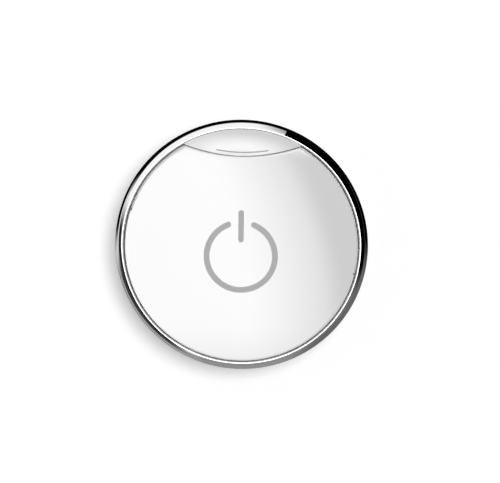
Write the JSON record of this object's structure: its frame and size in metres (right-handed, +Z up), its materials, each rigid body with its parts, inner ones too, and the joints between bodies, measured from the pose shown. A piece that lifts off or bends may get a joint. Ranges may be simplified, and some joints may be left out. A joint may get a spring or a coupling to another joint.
{
  "type": "smart lock remote",
  "caption": "Round key fob remote for a door lock: a domed press cap with a power symbol, a thumb scoop with a light slit, a bright ring, and a coin cell behind a twist-off door.",
  "frame": {"origin": "centre of the foot ring's underside, on the surface the remote rests on", "axes": "+Z up through the face, +Y from the middle towards the thumb scoop, +X to the right of the face"},
  "size_m": [0.042, 0.042, 0.01],
  "materials": {
    "gloss_white": "high gloss white moulded plastic",
    "symbol_grey": "grey plastic moulded flush into the cap",
    "guide_smoke": "smoked translucent plastic",
    "ring_chrome": "mirror plated",
    "frame_grey": "moulded grey plastic",
    "shell_white": "white moulded plastic, satin gloss",
    "membrane_rubber": "soft silicone rubber",
    "board_green": "solder mask over glass fibre board",
    "switch_black": "moulded black plastic",
    "spring_steel": "bright stamped sheet",
    "stem_white": "moulded plastic",
    "led_cream": "lamp body with a phosphor face",
    "chip_black": "moulded package",
    "crystal_steel": "plated lid",
    "antenna_ceramic": "glazed ceramic",
    "passive_tan": "ceramic with tinned ends",
    "cell_steel": "nickel plated steel",
    "gasket_grey": "moulded sealing ring",
    "cell_stack": "electrodes and separator",
    "seal_black": "rubber cord ring",
    "foot_rubber": "soft matt rubber",
    "screw_steel": "zinc plated steel"
  },
  "bodies": {
    "housing": {"thumb_scoop": "gloss_white", "light_guide": "guide_smoke", "chrome_ring": "ring_chrome", "upper_frame": "frame_grey", "switch_membrane": "membrane_rubber", "circuit_board": "board_green", "switch_housing": "switch_black", "switch_cover": "spring_steel", "switch_dome": "spring_steel", "status_led": "led_cream", "radio_chip": "chip_black", "clock_crystal": "crystal_steel", "chip_antenna": "antenna_ceramic", "board_passives": "passive_tan", "cell_can": "cell_steel", "cell_cap": "cell_steel", "cell_gasket": "gasket_grey", "cell_core": "cell_stack", "positive_contact": "spring_steel", "negative_contact": "spring_steel", "rear_shell": "shell_white", "housing_screws": "screw_steel", "foot_ring": "foot_rubber"},
    "cap": {"front_cap": "gloss_white", "power_symbol": "symbol_grey", "switch_stem": "stem_white"},
    "door": {"battery_door": "shell_white", "door_seal": "seal_black"}
  },
  "joints": [
    {"name": "cap_press", "type": "slide", "parent": "housing", "child": "cap", "axis": [0, 0, -1], "range_m": [0, 0.0003], "stiffness_N_per_m": 6000, "deforming": ["switch_membrane", "switch_dome"]},
    {"name": "door_turn", "type": "hinge", "parent": "housing", "child": "door", "pos_m": [0, 0, 0.00035], "axis": [0, 0, -1], "range_deg": [0, 30]}
  ]
}
